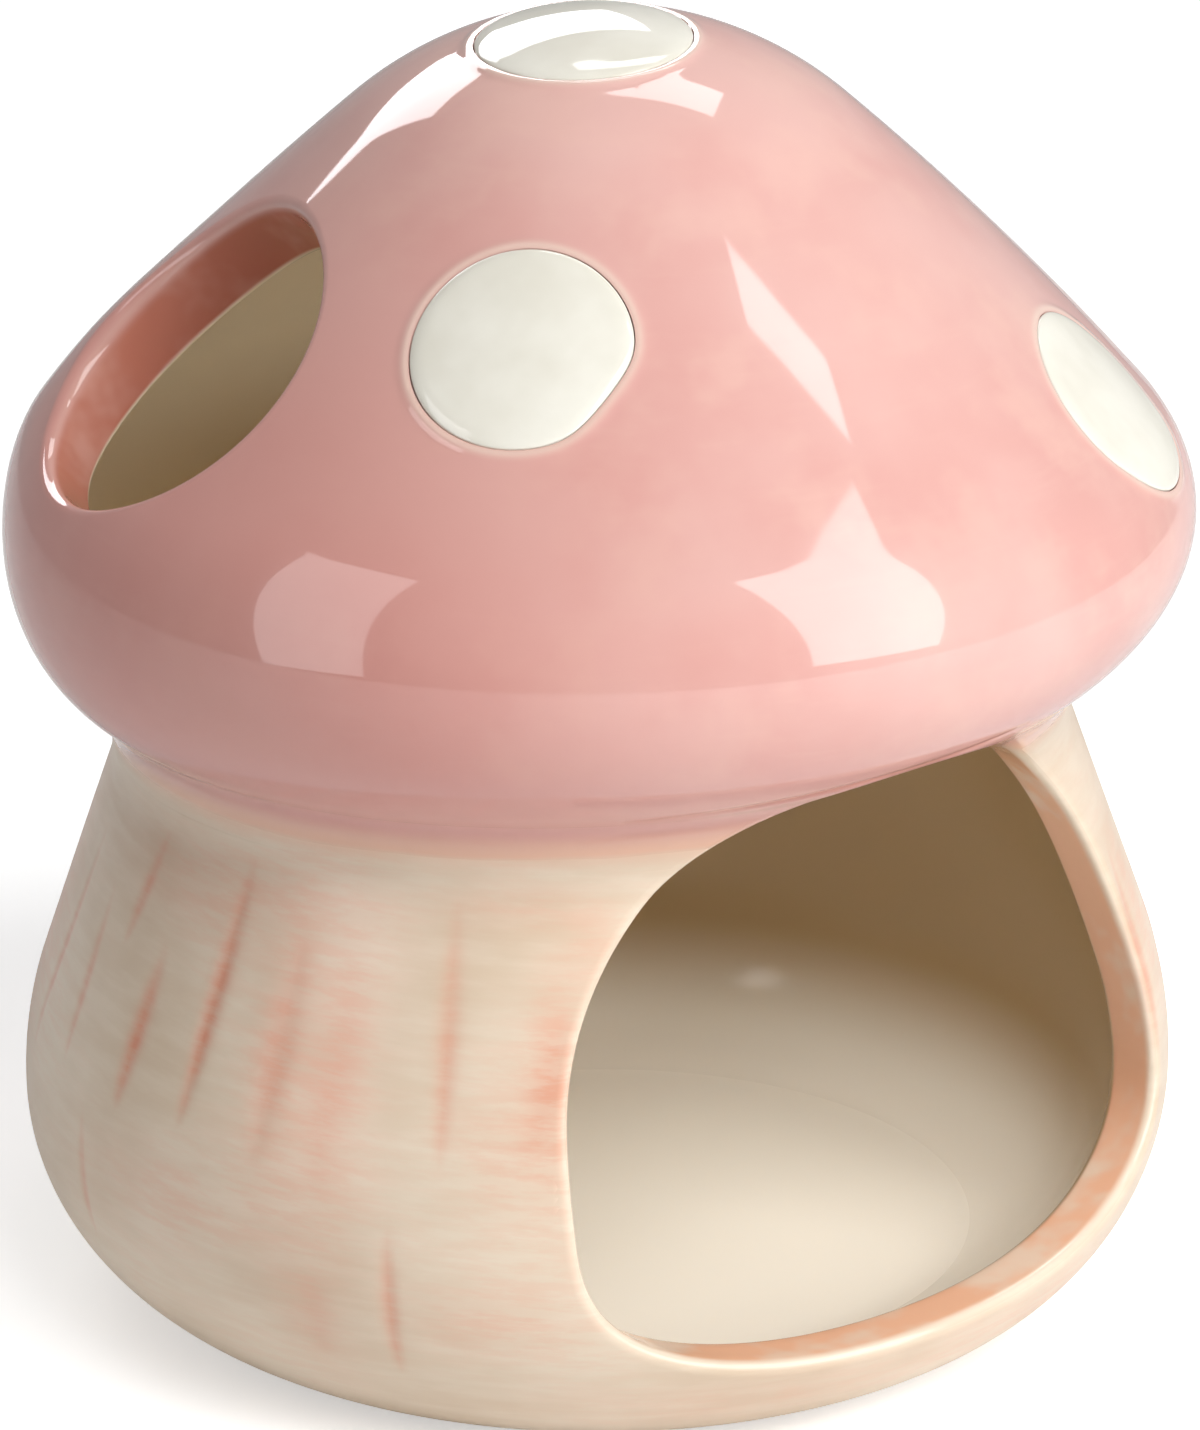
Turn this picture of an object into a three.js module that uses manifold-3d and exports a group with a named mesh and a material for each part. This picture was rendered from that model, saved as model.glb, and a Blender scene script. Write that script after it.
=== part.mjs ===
// A glazed ceramic mushroom house for small pets or a fish tank, in millimetres, +Z up.
// A hollow bell-shaped cap casting with one round window sits on a hollow stem casting with an egg-shaped
// door. A coil of slip in a V-groove joins the two castings, and white discs are set into the cap.
// The origin is the middle of the foot, on the surface that the house stands on. The door faces -Y.
// Azimuths are in degrees from -Y towards +X.

import * as THREE from 'three';
import { mergeVertices } from 'three/addons/utils/BufferGeometryUtils.js';
import Module from 'manifold-3d';

const wasm = await Module();
wasm.setup();

// Cap, outside. Heights above the rim are measured from the widest part of the cap.
const capRadius = 60;              // widest part of the cap
const rimHeight = 83;              // height of the widest part
const rimRadius = 17.2;            // roll of the rim
const capRise = 51.2;              // crown above the rim
const crownRadius = 38.5;          // curvature of the crown
const slopeRadius = 330;           // slight bulge of the long slope

// Neck and stem, outside
const neckRadius = 48.7;
const neckFillet = 8.5;            // hollow between cap and stem
const bellyRadius = 59;
const bellyHeight = 24;
const bellyCurve = 41;             // curvature of the belly above its widest part
const footRadius = 39.8;

// Walls, floor and foot
const wall = 5.5;
const floorThickness = 5;
const floorCorner = 19;            // inside curve between floor and wall
const footRingWidth = 6;
const footRecess = 1.2;

// Hand-made set of the neck: it rises towards one side, dips on the other and sits a little off the middle
const neckTilt = 0.045;            // rise per millimetre across
const neckShift = 0.9;             // away from the side that rises
const tiltAzimuth = 53;            // side that rises
const tiltReach = 35;              // how far above the neck the tilt dies out

// Joint between the castings
const seamAngle = 152;             // place of the seam on the neck hollow, seen from the hollow's centre
const coilSpread = 24;             // half angle of the hollow that the slip coil covers
const coilDepth = 2.4;
const clearance = 0.3;             // between pieces that touch

// Door in the stem, seen from the front. Its arch reaches up through the neck.
const doorHalfWidth = 36.2;
const doorMiddle = 29;             // height of its widest part
const doorBelowRim = 13.5;         // top of the arch below the rim's height
const doorBottom = 12.8;
const doorSquareness = 2.7;        // exponent of the lower half, where 2 is an ellipse
const doorSillRise = 0.05;         // the sill climbs a little towards +X
const doorEdge = 1.6;              // rounding of the outer edge
const innerEdge = 0.6;             // rounding of the inner edges of door and window

// Window in the cap
const windowAzimuth = -103;
const windowRise = 22.5;           // above the rim
const windowRadius = 17.8;
const windowEdge = 1.4;

// White discs, each in a shallow pocket of the cap
const discRadius = 10.75;
const discProud = 0.5;             // crown of a disc above the glaze
const discEdge = 1.1;              // how far in its rounded edge reaches
const discSeat = 0.8;              // depth of its pocket
const topDiscTilt = 6.4;           // the top disc sits a little off the crown
const topDiscAzimuth = -60;
const highDiscRise = 28.7;         // discs near the slope's middle, above the rim
const lowDiscRise = 15.5;          // and lower down
const sideDiscs = [
  { name: 'disc_front_left', azimuth: -48, rise: highDiscRise },
  { name: 'disc_front_right', azimuth: 39, rise: lowDiscRise },
  { name: 'disc_rear_right', azimuth: 111, rise: highDiscRise },
  { name: 'disc_rear', azimuth: 186, rise: lowDiscRise },
];

// Fineness of the facets
const turns = 54;                  // round the pot
const cutSteps = 48;               // round the door and the window
const discSteps = 24;              // round a disc
const outerSag = 0.1;              // how far a facet may leave the true arc outside
const innerSag = 0.22;             // and inside
const outerEdgeSteps = 3;          // across the rounded outer edge of an opening
const innerEdgeSteps = 2;
const discEdgeSteps = 2;
const flare = 0.4;                 // slope with which a cutter leaves the clay, so that it cuts cleanly

const glaze = {
  pink: { color: 0xe0a598, roughness: 0.12 },
  cream: { color: 0xe6d3b8, roughness: 0.16 },
  blush: { color: 0xcda590, roughness: 0.2 },
  white: { color: 0xf2efe4, roughness: 0.1 },
};

const rad = THREE.MathUtils.degToRad;
const V2 = (r, z) => new THREE.Vector2(r, z);
const V3 = (x, y, z) => new THREE.Vector3(x, y, z);

// An arc of the profile. Its bulge is 1 where the clay bulges outwards and -1 where it is hollow.
function arc(centre, radius, from, to, bulge = 1) {
  return {
    centre, radius, from, to,
    at(angle, offset = 0) {
      const r = radius + bulge * offset;
      return V2(centre.x + r * Math.cos(angle), centre.y + r * Math.sin(angle));
    },
    distance(p) {
      return bulge * (Math.hypot(p.x - centre.x, p.y - centre.y) - radius);
    },
    covers(p) {
      const angle = Math.atan2(p.y - centre.y, p.x - centre.x);
      const low = Math.min(from, to);
      const turned = low + THREE.MathUtils.euclideanModulo(angle - low, 2 * Math.PI);
      return turned <= Math.max(from, to) + 1e-6;
    },
    // Points along the arc or an offset of it, close enough that no facet leaves it by more than the sag.
    points(offset, sag, start = from, end = to) {
      const r = radius + bulge * offset;
      const steps = Math.ceil(Math.abs(end - start) / (2 * Math.acos(1 - sag / r)));
      return Array.from({ length: steps + 1 }, (_, i) => this.at(start + (end - start) * i / steps, offset));
    },
  };
}

// The straight part of the profile between two of its points, going up.
function line(start, end) {
  const length = end.distanceTo(start);
  const along = end.clone().sub(start).divideScalar(length);
  const outward = V2(along.y, -along.x);
  return {
    distance: (p) => outward.dot(p.clone().sub(start)),
    covers: (p) => {
      const s = along.dot(p.clone().sub(start));
      return s >= -1e-6 && s <= length + 1e-6;
    },
  };
}

// The arc that joins two bulging arcs smoothly from outside.
function bridgingArc(upper, lower, radius) {
  const span = lower.centre.clone().sub(upper.centre);
  const length = span.length();
  const along = ((radius - upper.radius) ** 2 - (radius - lower.radius) ** 2 + length ** 2) / (2 * length);
  const aside = Math.sqrt((radius - upper.radius) ** 2 - along ** 2);
  span.normalize();
  const sideways = V2(span.y, -span.x);
  const centre = upper.centre.clone().addScaledVector(span, along).addScaledVector(sideways, aside);
  const start = upper.centre.clone().sub(centre).angle();
  const end = lower.centre.clone().sub(centre).angle();
  return arc(centre, radius, start, end);
}

// Outer profile of the whole pot, as smooth arcs and one line from the crown down to the foot.
function outerProfile() {
  const crownCentre = V2(0, rimHeight + capRise - crownRadius);
  const rimCentre = V2(capRadius - rimRadius, rimHeight);
  const slope = bridgingArc({ centre: crownCentre, radius: crownRadius },
    { centre: rimCentre, radius: rimRadius }, slopeRadius);
  const crown = arc(crownCentre, crownRadius, Math.PI / 2, slope.from);

  // The hollow of the neck touches the underside of the rim.
  const neckReach = neckRadius + neckFillet;
  const drop = Math.sqrt((rimRadius + neckFillet) ** 2 - (neckReach - rimCentre.x) ** 2);
  const neckCentre = V2(neckReach, rimHeight - drop);
  const under = neckCentre.clone().sub(rimCentre).angle() - 2 * Math.PI;
  const rim = arc(rimCentre, rimRadius, slope.to, under);

  // A straight shoulder touches the hollow and the belly, whose curve is limited by the room between them.
  const height = neckCentre.y - bellyHeight;
  const overhang = neckReach - bellyRadius;
  const roomiest = (overhang ** 2 + height ** 2 - neckFillet ** 2) / (2 * (neckFillet - overhang));
  const upperRadius = roomiest > 0 ? Math.min(bellyCurve, roomiest) : bellyCurve;
  const bellyCentre = V2(bellyRadius - upperRadius, bellyHeight);
  const between = neckCentre.clone().sub(bellyCentre);
  const lean = between.angle() - Math.acos((upperRadius + neckFillet) / between.length());
  const neck = arc(neckCentre, neckFillet, under + Math.PI, Math.PI + lean, -1);
  const belly = arc(bellyCentre, upperRadius, lean, 0);
  const shoulder = line(belly.at(lean), neck.at(Math.PI + lean));

  // Below the belly one arc comes in to the edge of the foot.
  const tuck = bellyRadius - footRadius;
  const footCurve = (tuck ** 2 + bellyHeight ** 2) / (2 * tuck);
  const footCentre = V2(bellyRadius - footCurve, bellyHeight);
  const foot = arc(footCentre, footCurve, 0, V2(footRadius, 0).sub(footCentre).angle() - 2 * Math.PI);
  return { crown, slope, rim, neck, shoulder, belly, foot };
}

const outer = outerProfile();
const seam = rad(seamAngle);

// Distance of a point from the outer surface: above 0 outside, below 0 in the clay.
function depthAt(point) {
  const p = V2(Math.hypot(point.x, point.y), point.z);
  let nearest = Infinity;
  for (const piece of Object.values(outer)) {
    const d = piece.distance(p);
    if (piece.covers(p) && Math.abs(d) < Math.abs(nearest)) nearest = d;
  }
  return nearest;
}

// The point where a line into the pot reaches a level, given as a height above the outer surface. Each step
// is as long as the distance left, so it never goes past.
function reach(start, direction, level) {
  const p = start.clone();
  for (let i = 0; i < 60; i++) p.addScaledVector(direction, depthAt(p) - level);
  return p;
}

// A solid from a geometry whose faces may point either way.
function solidOf(geometry) {
  const bare = geometry.clone();
  bare.deleteAttribute('normal');
  bare.deleteAttribute('uv');
  const merged = mergeVertices(bare, 1e-4);
  const points = merged.attributes.position;
  const kept = [];
  let volume = 0;
  for (let i = 0; i < merged.index.count; i += 3) {
    const [a, b, c] = [0, 1, 2].map((k) => merged.index.getX(i + k));
    if (a === b || b === c || c === a) continue;
    kept.push(a, b, c);
    const [p, q, s] = [a, b, c].map((k) => new THREE.Vector3().fromBufferAttribute(points, k));
    volume += p.dot(q.cross(s));
  }
  if (volume < 0) kept.reverse();
  const vertProperties = new Float32Array(points.array);
  return new wasm.Manifold(new wasm.Mesh({ numProp: 3, vertProperties, triVerts: new Uint32Array(kept) }));
}

// A turned solid from a profile of (radius, height) points.
function turned(profile) {
  const lathe = new THREE.LatheGeometry(profile, turns);
  lathe.rotateX(Math.PI / 2);
  return solidOf(lathe);
}

// A solid skinned over rings of points, closed by a fan at each end.
function skinned(rings) {
  const count = rings[0].length;
  const points = rings.flat();
  const faces = [];
  for (let j = 0; j + 1 < rings.length; j++) {
    for (let i = 0; i < count; i++) {
      const a = j * count + i;
      const b = j * count + (i + 1) % count;
      faces.push(a, b, b + count, a, b + count, a + count);
    }
  }
  for (const [ring, flip] of [[0, true], [rings.length - 1, false]]) {
    const middle = points.length;
    points.push(rings[ring].reduce((sum, p) => sum.add(p), V3(0, 0, 0)).divideScalar(count));
    for (let i = 0; i < count; i++) {
      const a = ring * count + i;
      const b = ring * count + (i + 1) % count;
      faces.push(...(flip ? [middle, b, a] : [middle, a, b]));
    }
  }
  const geometry = new THREE.BufferGeometry().setFromPoints(points);
  geometry.setIndex(faces);
  return solidOf(geometry);
}

// A view onto the pot at a point of its profile: the point, the way in, and the two ways across.
function viewFrom(azimuth, profilePoint, slant) {
  const a = rad(azimuth);
  const outwards = V3(Math.sin(a), -Math.cos(a), 0);
  const across = V3(Math.cos(a), Math.sin(a), 0);
  const normal = outwards.clone().multiplyScalar(Math.cos(slant)).add(V3(0, 0, Math.sin(slant)));
  const middle = outwards.clone().multiplyScalar(profilePoint.x).add(V3(0, 0, profilePoint.y));
  return { middle, inward: normal.clone().negate(), across, up: normal.clone().cross(across) };
}

// The same at a height above the rim, square to the cap's surface.
function viewOfCap(azimuth, rise) {
  const slantOn = (piece) => Math.asin((rimHeight + rise - piece.centre.y) / piece.radius);
  const piece = [outer.crown, outer.slope, outer.rim].find((part) => slantOn(part) >= part.to);
  return viewFrom(azimuth, piece.at(slantOn(piece)), slantOn(piece));
}

// A ring of points at one level under the glaze, seen through an outline in a view.
function ringAt(view, outline, level) {
  return outline.map((p) => {
    const start = view.middle.clone().addScaledVector(view.across, p.x).addScaledVector(view.up, p.y);
    start.addScaledVector(view.inward, -capRadius);
    return reach(start, view.inward, level);
  });
}

// How far a rounded edge has come in and down after each step of its quarter turn.
function quarterRound(steps) {
  return Array.from({ length: steps + 1 }, (_, i) => {
    const turn = Math.PI / 2 * i / steps;
    return { inwards: Math.sin(turn), down: 1 - Math.cos(turn) };
  });
}

// The tool that cuts an opening through the wall and rounds its edges. The outline grows by a given amount.
function openingCutter(view, outlineGrown, edge) {
  const ring = (grow, depth) => ringAt(view, outlineGrown(grow), -depth);
  const away = (points, by) => points.map((p) => p.clone().addScaledVector(view.inward, by));
  const mouth = ring(2 * edge, -flare * edge);
  const rings = [away(mouth, -capRadius), mouth];
  for (const { inwards, down } of quarterRound(outerEdgeSteps)) {
    rings.push(ring(edge * (1 - inwards), edge * down));
  }
  for (const { inwards, down } of quarterRound(innerEdgeSteps)) {
    rings.push(ring(innerEdge * down, wall - innerEdge * (1 - inwards)));
  }
  const inside = ring(2 * innerEdge, wall + flare * innerEdge);
  return skinned([...rings, inside, away(inside, wall)]);
}

function circle(radius, steps) {
  return Array.from({ length: steps }, (_, i) => {
    const turn = 2 * Math.PI * i / steps;
    return V2(radius * Math.cos(turn), radius * Math.sin(turn));
  });
}

// The egg-shaped door: half an ellipse above its widest part and a squarer half below.
function doorOutline(grow) {
  return Array.from({ length: cutSteps }, (_, i) => {
    const turn = 2 * Math.PI * i / cutSteps;
    const [c, s] = [Math.cos(turn), Math.sin(turn)];
    const x = doorHalfWidth + grow;
    if (s >= 0) return V2(x * c, (rimHeight - doorBelowRim - doorMiddle + grow) * s);
    const power = 2 / doorSquareness;
    const side = Math.sign(c) * Math.abs(c) ** power * x;
    const down = Math.abs(s) ** power;
    return V2(side, -(doorMiddle - doorBottom + grow) * down + doorSillRise * side * down);
  });
}

function doorCutter() {
  return openingCutter(viewFrom(0, V2(bellyRadius, doorMiddle), 0), doorOutline, doorEdge);
}

function windowCutter() {
  const outline = (grow) => circle(windowRadius + grow, cutSteps);
  return openingCutter(viewOfCap(windowAzimuth, windowRise), outline, windowEdge);
}

// A point near the seam: how far across it, and how far into the clay from the hollow's centre.
function nearSeam(across, into) {
  const way = V2(Math.cos(seam), Math.sin(seam));
  return outer.neck.centre.clone().addScaledVector(way, into).addScaledVector(V2(-way.y, way.x), across);
}

// Section of the slip coil: its face is flush with the hollow, and its two flanks meet in a V.
function coilSection() {
  const half = rad(coilSpread);
  const face = outer.neck.points(0, outerSag, seam - half, seam + half);
  return [...face, nearSeam(0, neckFillet + coilDepth), face[0].clone()];
}

// Section of the groove that holds the coil, one clearance wider on both flanks and open to the air.
function grooveSection() {
  const corner = V2(Math.sin(rad(coilSpread)), Math.cos(rad(coilSpread))).multiplyScalar(neckFillet);
  const flank = corner.clone().sub(V2(0, neckFillet + coilDepth)).normalize();
  const square = V2(-flank.y, flank.x);
  const mouth = corner.clone().addScaledVector(square, clearance).addScaledVector(flank, 3 * clearance);
  const root = neckFillet + coilDepth + clearance / flank.x;
  const section = [nearSeam(mouth.x, mouth.y), nearSeam(-mouth.x, mouth.y), nearSeam(0, root)];
  return [...section, section[0].clone()];
}

// Where a casting ends at the neck: above or below the seam, as angles on the hollow outside and inside.
function castingEnd(aboveSeam) {
  const { neck } = outer;
  const rise = neck.at(seam).y + aboveSeam - neck.centre.y;
  const angleOn = (radius) => Math.PI - Math.asin(rise / radius);
  return { outside: angleOn(neckFillet), inside: angleOn(neckFillet + wall) };
}

function capCasting() {
  const { crown, slope, rim, neck } = outer;
  const end = castingEnd(clearance / 2);
  const profile = [
    ...crown.points(0, outerSag),
    ...slope.points(0, outerSag).slice(1),
    ...rim.points(0, outerSag).slice(1),
    ...neck.points(0, outerSag, neck.from, end.outside).slice(1),
    ...neck.points(-wall, innerSag, end.inside, neck.from),
    ...rim.points(-wall, innerSag, rim.to, rim.from).slice(1),
    ...slope.points(-wall, innerSag, slope.to, slope.from).slice(1),
    ...crown.points(-wall, innerSag, crown.to, crown.from).slice(1),
  ];
  profile[0].setX(0);
  profile.at(-1).setX(0);
  return turned(profile);
}

function stemCasting() {
  const { neck, belly, foot } = outer;
  const end = castingEnd(-clearance / 2);
  const recessRadius = footRadius - footRingWidth;
  // The inside corner touches the floor and the inside of the belly.
  const insideBelly = belly.radius - wall;
  const cornerHeight = floorThickness + floorCorner;
  const cornerSide = Math.sqrt((insideBelly - floorCorner) ** 2 - (cornerHeight - belly.centre.y) ** 2);
  const cornerCentre = V2(belly.centre.x + cornerSide, cornerHeight);
  const meet = Math.atan2(cornerHeight - belly.centre.y, cornerSide);
  const corner = arc(cornerCentre, floorCorner, -Math.PI / 2, meet);
  const profile = [
    V2(0, footRecess),
    V2(recessRadius - footRecess, footRecess),
    V2(recessRadius, 0),
    ...foot.points(0, outerSag, foot.to, foot.from),
    ...belly.points(0, outerSag, belly.to, belly.from).slice(1),
    ...neck.points(0, outerSag, neck.to, end.outside),
    ...neck.points(-wall, innerSag, end.inside, neck.to),
    ...belly.points(-wall, innerSag, belly.from, meet),
    ...corner.points(0, innerSag, corner.to, corner.from).slice(1),
    V2(0, floorThickness),
  ];
  return turned(profile);
}

// A disc with a rounded edge, seated in its pocket. It follows the curve of the cap.
function disc(view) {
  const ring = (radius, level) => ringAt(view, circle(radius, discSteps), level);
  const seat = clearance - discSeat;
  const rings = [ring(discRadius / 2, seat), ring(discRadius, seat)];
  for (const { inwards, down } of quarterRound(discEdgeSteps)) {
    rings.push(ring(discRadius - discEdge * down, discProud * inwards));
  }
  return skinned([...rings, ring(discRadius / 2, discProud)]);
}

function pocketCutter(view) {
  const outline = circle(discRadius + clearance, discSteps);
  const floor = ringAt(view, outline, -discSeat);
  const inner = ringAt(view, circle(discRadius / 2, discSteps), -discSeat);
  return skinned([inner, floor, floor.map((p) => p.clone().addScaledVector(view.inward, -discRadius))]);
}

// The set of the neck, in the finished pot: nothing moves at the foot or at the crown.
function settled(geometry) {
  const points = geometry.attributes.position;
  const a = rad(tiltAzimuth);
  const rising = V3(Math.sin(a), -Math.cos(a), 0);
  const neckHeight = outer.neck.centre.y;
  for (let i = 0; i < points.count; i++) {
    const p = new THREE.Vector3().fromBufferAttribute(points, i);
    const below = Math.sin(Math.PI / 2 * p.z / neckHeight);
    const away = Math.min(1, (p.z - neckHeight) / tiltReach);
    const share = away < 0 ? below : Math.cos(Math.PI / 2 * away) ** 2;
    p.z += neckTilt * p.dot(rising) * share;
    p.addScaledVector(rising, -neckShift * share ** 2);
    points.setXYZ(i, p.x, p.y, p.z);
  }
  return geometry;
}

function meshOf(name, solid, finish) {
  const { vertProperties, triVerts } = solid.getMesh();
  const shared = new THREE.BufferGeometry();
  shared.setAttribute('position', new THREE.BufferAttribute(vertProperties, 3));
  shared.setIndex(new THREE.BufferAttribute(triVerts, 1));
  const geometry = settled(shared).toNonIndexed();
  geometry.computeVertexNormals();
  const mesh = new THREE.Mesh(geometry, new THREE.MeshStandardMaterial({ ...finish, metalness: 0 }));
  mesh.name = name;
  return mesh;
}

const topSlant = Math.PI / 2 - rad(topDiscTilt);
const discs = [
  { name: 'disc_top', view: viewFrom(topDiscAzimuth, outer.crown.at(topSlant), topSlant) },
  ...sideDiscs.map(({ name, azimuth, rise }) => ({ name, view: viewOfCap(azimuth, rise) })),
];

const door = doorCutter();
const groove = turned(grooveSection());
let cap = capCasting().subtract(groove).subtract(door).subtract(windowCutter());
for (const { view } of discs) cap = cap.subtract(pocketCutter(view));
const stem = stemCasting().subtract(groove).subtract(door);
const coil = turned(coilSection()).subtract(door);

const house = new THREE.Group();
house.name = 'mushroom_house';
house.add(meshOf('cap_shell', cap, glaze.pink));
house.add(meshOf('stem_shell', stem, glaze.cream));
house.add(meshOf('neck_slip_coil', coil, glaze.blush));
for (const { name, view } of discs) house.add(meshOf(name, disc(view), glaze.white));

export default house;
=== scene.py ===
"""Looks of a glazed ceramic mushroom house, in metres, +Z up.

The house stands on Z = 0 and its door faces -Y. A hollow cap and a hollow stem are turned, cut and joined
by a coil of slip, and white discs are set into the cap. Azimuths are in degrees from -Y towards +X.
Profile points are (radius, height).
"""
import math
import random

import bpy
import numpy as np
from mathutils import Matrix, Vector


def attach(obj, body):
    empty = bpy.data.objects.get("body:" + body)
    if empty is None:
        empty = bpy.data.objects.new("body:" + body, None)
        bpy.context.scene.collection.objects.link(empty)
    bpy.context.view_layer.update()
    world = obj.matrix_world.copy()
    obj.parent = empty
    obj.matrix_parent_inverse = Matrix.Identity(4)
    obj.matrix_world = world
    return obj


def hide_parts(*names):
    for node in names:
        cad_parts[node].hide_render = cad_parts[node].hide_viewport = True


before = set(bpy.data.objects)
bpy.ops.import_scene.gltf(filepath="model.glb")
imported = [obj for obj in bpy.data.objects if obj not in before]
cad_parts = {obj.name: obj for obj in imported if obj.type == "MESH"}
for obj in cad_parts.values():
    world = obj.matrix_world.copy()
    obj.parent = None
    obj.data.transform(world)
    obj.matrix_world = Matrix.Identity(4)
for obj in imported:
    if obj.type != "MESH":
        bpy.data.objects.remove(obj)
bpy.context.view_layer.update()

MM = 0.001

# Cap, outside. Rises are measured from the widest part of the cap
CAP_RADIUS = 60 * MM
RIM_HEIGHT = 83 * MM
RIM_RADIUS = 17.2 * MM
CAP_RISE = 51.2 * MM
CROWN_RADIUS = 38.5 * MM
SLOPE_RADIUS = 330 * MM

# Neck and stem, outside
NECK_RADIUS = 48.7 * MM
NECK_FILLET = 8.5 * MM
BELLY_RADIUS = 59 * MM
BELLY_HEIGHT = 24 * MM
BELLY_CURVE = 41 * MM
FOOT_RADIUS = 39.8 * MM

# Walls, floor and foot
WALL = 5.5 * MM
FLOOR = 5 * MM
FLOOR_CORNER = 19 * MM
FOOT_RING = 6 * MM
FOOT_RECESS = 1.2 * MM
FOOT_ROUNDING = 0.9 * MM

# Hand-made set of the neck: it rises towards one side and sits a little off the middle
NECK_TILT = 0.045
NECK_SHIFT = 0.9 * MM
TILT_AZIMUTH = 53
TILT_REACH = 35 * MM

# Joint between cap and stem, as angles on the hollow of the neck
SEAM = math.radians(152)
COIL_SPREAD = math.radians(24)
COIL_DEPTH = 2.4 * MM

# Door in the stem
DOOR_HALF_WIDTH = 36.2 * MM
DOOR_MIDDLE = 29 * MM
DOOR_TOP = 69.5 * MM
DOOR_BOTTOM = 12.8 * MM
DOOR_SQUARENESS = 2.7
DOOR_SILL_RISE = 0.05
DOOR_EDGE = 1.6 * MM
INNER_EDGE = 0.6 * MM

# Window in the cap
WINDOW_AZIMUTH = -103
WINDOW_RISE = 22.5 * MM
WINDOW_RADIUS = 17.8 * MM
WINDOW_EDGE = 1.4 * MM

# White discs in the cap
DISC_RADIUS = 10.75 * MM
DISC_DOME = 0.55 * MM
DISC_EDGE = 2.0 * MM
DISC_FALL = 0.3
DISC_SEAT = 0.8 * MM
DISC_GAP = 0.12 * MM
TOP_DISC_TILT = 6.4
TOP_DISC_AZIMUTH = -60
HIGH_DISC_RISE = 28.7 * MM
LOW_DISC_RISE = 15.5 * MM
SIDE_DISCS = [("disc_front_left", -48, HIGH_DISC_RISE), ("disc_front_right", 39, LOW_DISC_RISE),
              ("disc_rear_right", 111, HIGH_DISC_RISE), ("disc_rear", 186, LOW_DISC_RISE)]

# Soft flat at the lower right of the front disc
FLAT_SHARE = 0.93
FLAT_SOFTNESS = 16
FLAT_TURN = -27

# Raised lips of pink glaze round the discs
LIP_HEIGHT = 0.12 * MM
LIP_WIDTH = 0.45 * MM
TOP_LIP_HEIGHT = 0.25 * MM
LIP_TAIL = 1.5
DISC_REACH = 15 * MM

# Swelling of the cap beyond the window
SWELLING_AZIMUTH = -127
SWELLING_HEIGHT = 101 * MM
SWELLING_REACH = 9.5 * MM
SWELLING_RISE = 1.2 * MM

# Slip that thickens the wall inside, behind the window's far edge
THICKENING_AZIMUTH = -120
THICKENING_HEIGHT = 108 * MM
THICKENING_REACH = 16 * MM
THICKENING = 2.5 * MM

# Crease in the pink glaze above the door: azimuths and heights of its ends
CREASE = [(-34, 68.8 * MM), (12, 71.9 * MM)]
CREASE_WIDTH = 0.4 * MM
CREASE_DEPTH = 0.18 * MM

# The relief fades out over this depth in the wall
RELIEF_DEPTH = 2 * MM

# Scored strokes on the stem, in millimetres:
# azimuth and height of the top, azimuth and height of the bottom, width, strength
STROKES = [(-112, 56, -115, 31, 1.3, 0.6), (-104, 52, -104, 34, 1.3, 0.6), (-95, 60, -98, 48, 1.5, 0.7),
           (-90, 50, -92, 33, 2.1, 1.0), (-79, 61, -82, 34, 2.0, 1.0), (-70, 55, -72, 32, 3.0, 0.4),
           (-63, 55, -65, 31, 4.0, 0.3), (-52, 60, -52, 35, 1.9, 0.6), (-57, 29, -57, 12, 1.5, 0.7),
           (-98, 31, -97, 17, 1.1, 0.6), (-65, 23, -65, 13, 3.0, 0.3), (-39, 51, -44, 36, 3.0, 0.3)]
STROKE_DEPTH = 0.2 * MM
STROKE_TAPER = 0.7
STROKE_TIP = 0.35
STROKE_START = 0.6

# Soft washes of colour on the stem: azimuth and height of the middle, half width, half height, strength
WASHES = [(-82, 57, 18, 4.5, 0.35), (-71, 44, 3.5, 12, 0.6), (-64, 42, 5, 16, 0.55), (-80, 27, 15, 5, 0.3),
          (-45, 37, 5, 7, 0.3), (-41, 43, 2.5, 9, 0.8), (-37, 55, 2.5, 3, 0.4), (-47, 20, 8, 4, 0.35),
          (-66, 18, 4, 6, 0.3), (-44, 59, 8, 2, 0.3), (-20, 8, 20, 3, 0.3), (25, 9, 20, 3, 0.35)]

# The sides and the back of the stem, which get strokes and washes like those in front
OTHER_SIDE = (42, 240)

# Fineness of the meshes
TURNS = 360
RING_SPACING = 1 * MM
INSIDE_SPACING = 2 * MM
EDGE_SPACING = 0.25 * MM
CUT_STEPS = 256
DISC_STEPS = 144
DISC_EDGE_STEPS = 10
DISC_FACE_STEPS = 12
DRAPE_STEPS = 60
SMOOTH_ANGLE = math.radians(40)

# Cutting tools widen past the edges by this share of the edge's rounding
FLARE = 0.4

TINY = 0.002 * MM
FAR = 60 * MM


def across(azimuth):
    """Unit vectors out of the pot and across it at an azimuth."""
    a = math.radians(azimuth)
    return np.array([math.sin(a), -math.cos(a), 0]), np.array([math.cos(a), math.sin(a), 0])


def angle_of(v):
    """Direction of an arrow in the profile, from 0 to a full turn."""
    return math.atan2(v[1], v[0]) % (2 * math.pi)


# Form of the pot

class Arc:
    """A round stretch of the profile. Its bulge is 1 where the clay bulges and -1 where it is hollow."""

    def __init__(self, centre, radius, start, end, bulge=1):
        self.centre, self.radius = np.array(centre), radius
        self.start, self.end, self.bulge = start, end, bulge

    def at(self, angle, offset=0):
        r = self.radius + self.bulge * offset
        return self.centre + r * np.array([math.cos(angle), math.sin(angle)])

    def height(self, r, z):
        return self.bulge * (np.hypot(r - self.centre[0], z - self.centre[1]) - self.radius)

    def covers(self, r, z):
        angle = np.arctan2(z - self.centre[1], r - self.centre[0])
        low = min(self.start, self.end)
        return np.mod(angle - low, 2 * math.pi) <= abs(self.end - self.start) + 1e-6


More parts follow.
